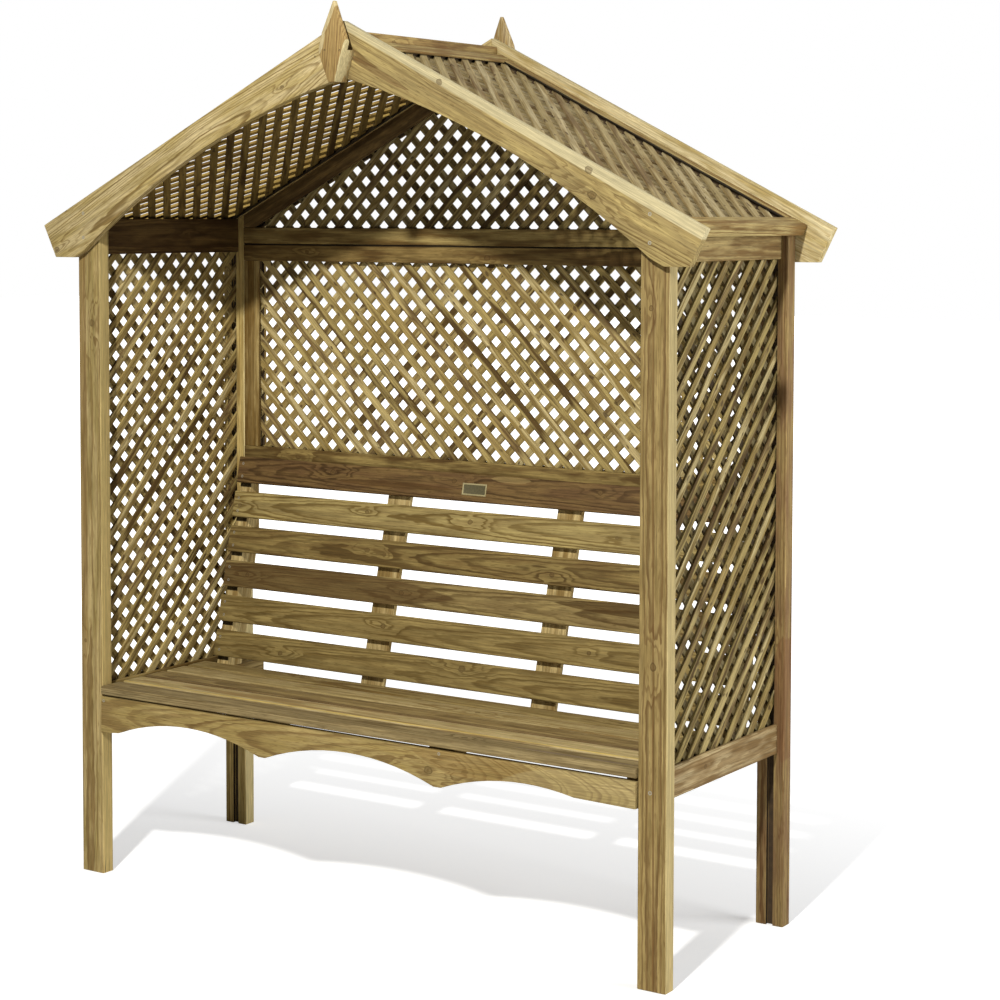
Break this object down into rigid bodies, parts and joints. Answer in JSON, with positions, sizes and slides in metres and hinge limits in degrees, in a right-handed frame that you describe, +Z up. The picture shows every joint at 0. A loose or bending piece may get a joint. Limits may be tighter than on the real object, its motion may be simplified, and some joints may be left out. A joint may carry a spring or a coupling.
{
  "type": "arbour seat",
  "caption": "Open garden arbour with a slatted bench, scalloped apron, diagonal trellis sides, back, gable and roof panels, shaped bargeboards and kite finials.",
  "frame": {"origin": "on the ground at the middle of the four posts", "axes": "+X to the right along the bench as seen from the front, +Y to the back, +Z up"},
  "size_m": [1.87, 0.7022, 2.1419],
  "materials": {
    "posts": "planed pine, pressure treated, olive brown",
    "rails": "planed pine, pressure treated, olive brown",
    "trellis": "sawn pine battens, pressure treated",
    "roof": "sawn and planed pine, pressure treated",
    "bargeboards": "planed pine, pressure treated, pale with brown grain",
    "finials": "planed pine, pressure treated",
    "apron": "planed pine, pressure treated, bandsawn scallops",
    "seat_slats": "planed pine with eased arrises, pressure treated",
    "back_slats": "planed pine with eased arrises, pressure treated, olive to dark brown"
  },
  "bodies": {
    "root": {"back_left_batten": "back_slats", "back_left_support": "back_slats", "back_panel_bottom_rail": "rails", "back_panel_left_stile": "rails", "back_panel_right_stile": "rails", "back_panel_top_rail": "rails", "back_panel_trellis": "trellis", "back_right_batten": "back_slats", "back_right_support": "back_slats", "back_slat_1": "back_slats", "back_slat_2": "back_slats", "back_slat_3": "back_slats", "back_slat_4": "back_slats", "back_slat_5": "back_slats", "back_slat_6": "back_slats", "front_finial": "finials", "front_left_bargeboard": "bargeboards", "front_left_post": "posts", "front_right_bargeboard": "bargeboards", "front_right_post": "posts", "gable_bottom_rail": "rails", "gable_left_sloping_rail": "rails", "gable_right_sloping_rail": "rails", "gable_trellis": "trellis", "left_side_bottom_rail": "rails", "left_side_top_rail": "rails", "left_side_trellis": "trellis", "rear_finial": "finials", "rear_left_bargeboard": "bargeboards", "rear_left_post": "posts", "rear_right_bargeboard": "bargeboards", "rear_right_post": "posts", "ridge_board": "roof", "right_side_bottom_rail": "rails", "right_side_top_rail": "rails", "right_side_trellis": "trellis", "roof_left_eaves_rail": "roof", "roof_left_front_rail": "roof", "roof_left_rear_rail": "roof", "roof_left_ridge_rail": "roof", "roof_left_trellis": "roof", "roof_right_eaves_rail": "roof", "roof_right_front_rail": "roof", "roof_right_rear_rail": "roof", "roof_right_ridge_rail": "roof", "roof_right_trellis": "roof", "seat_apron": "apron", "seat_left_batten": "rails", "seat_left_bearer": "rails", "seat_right_batten": "rails", "seat_right_bearer": "rails", "seat_slat_1": "seat_slats", "seat_slat_2": "seat_slats", "seat_slat_3": "seat_slats", "seat_slat_4": "seat_slats", "seat_slat_5": "seat_slats"}
  },
  "joints": []
}
